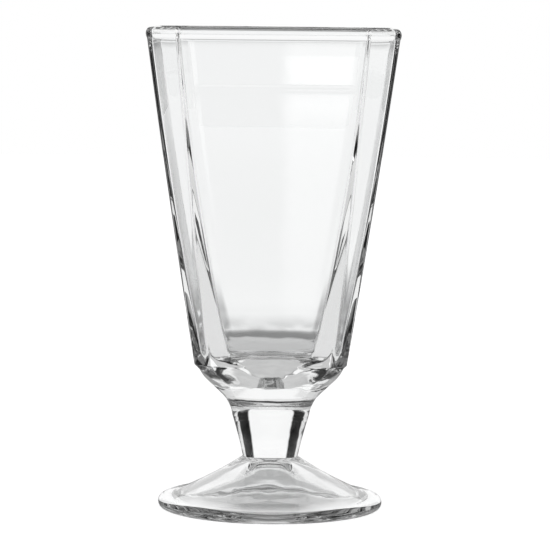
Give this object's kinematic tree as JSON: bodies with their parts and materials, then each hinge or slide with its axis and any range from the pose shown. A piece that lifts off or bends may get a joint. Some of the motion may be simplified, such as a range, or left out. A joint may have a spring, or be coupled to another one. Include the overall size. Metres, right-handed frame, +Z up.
{
  "type": "stemmed shot glass",
  "caption": "Small stemmed drinking glass: a square bowl with cut corners and a rounded lip tapers to a thick base, on a short round stem and a conical foot.",
  "frame": {"origin": "middle of the foot's underside, on the surface that the glass stands on", "axes": "+Z up along the stem, +X and +Y square to two neighbouring flat panels of the bowl"},
  "size_m": [0.0514, 0.0514, 0.1],
  "materials": {
    "clear_glass": "clear, fire-polished pressed glass"
  },
  "bodies": {
    "root": {"bowl": "clear_glass", "stem": "clear_glass", "foot": "clear_glass"}
  },
  "joints": []
}
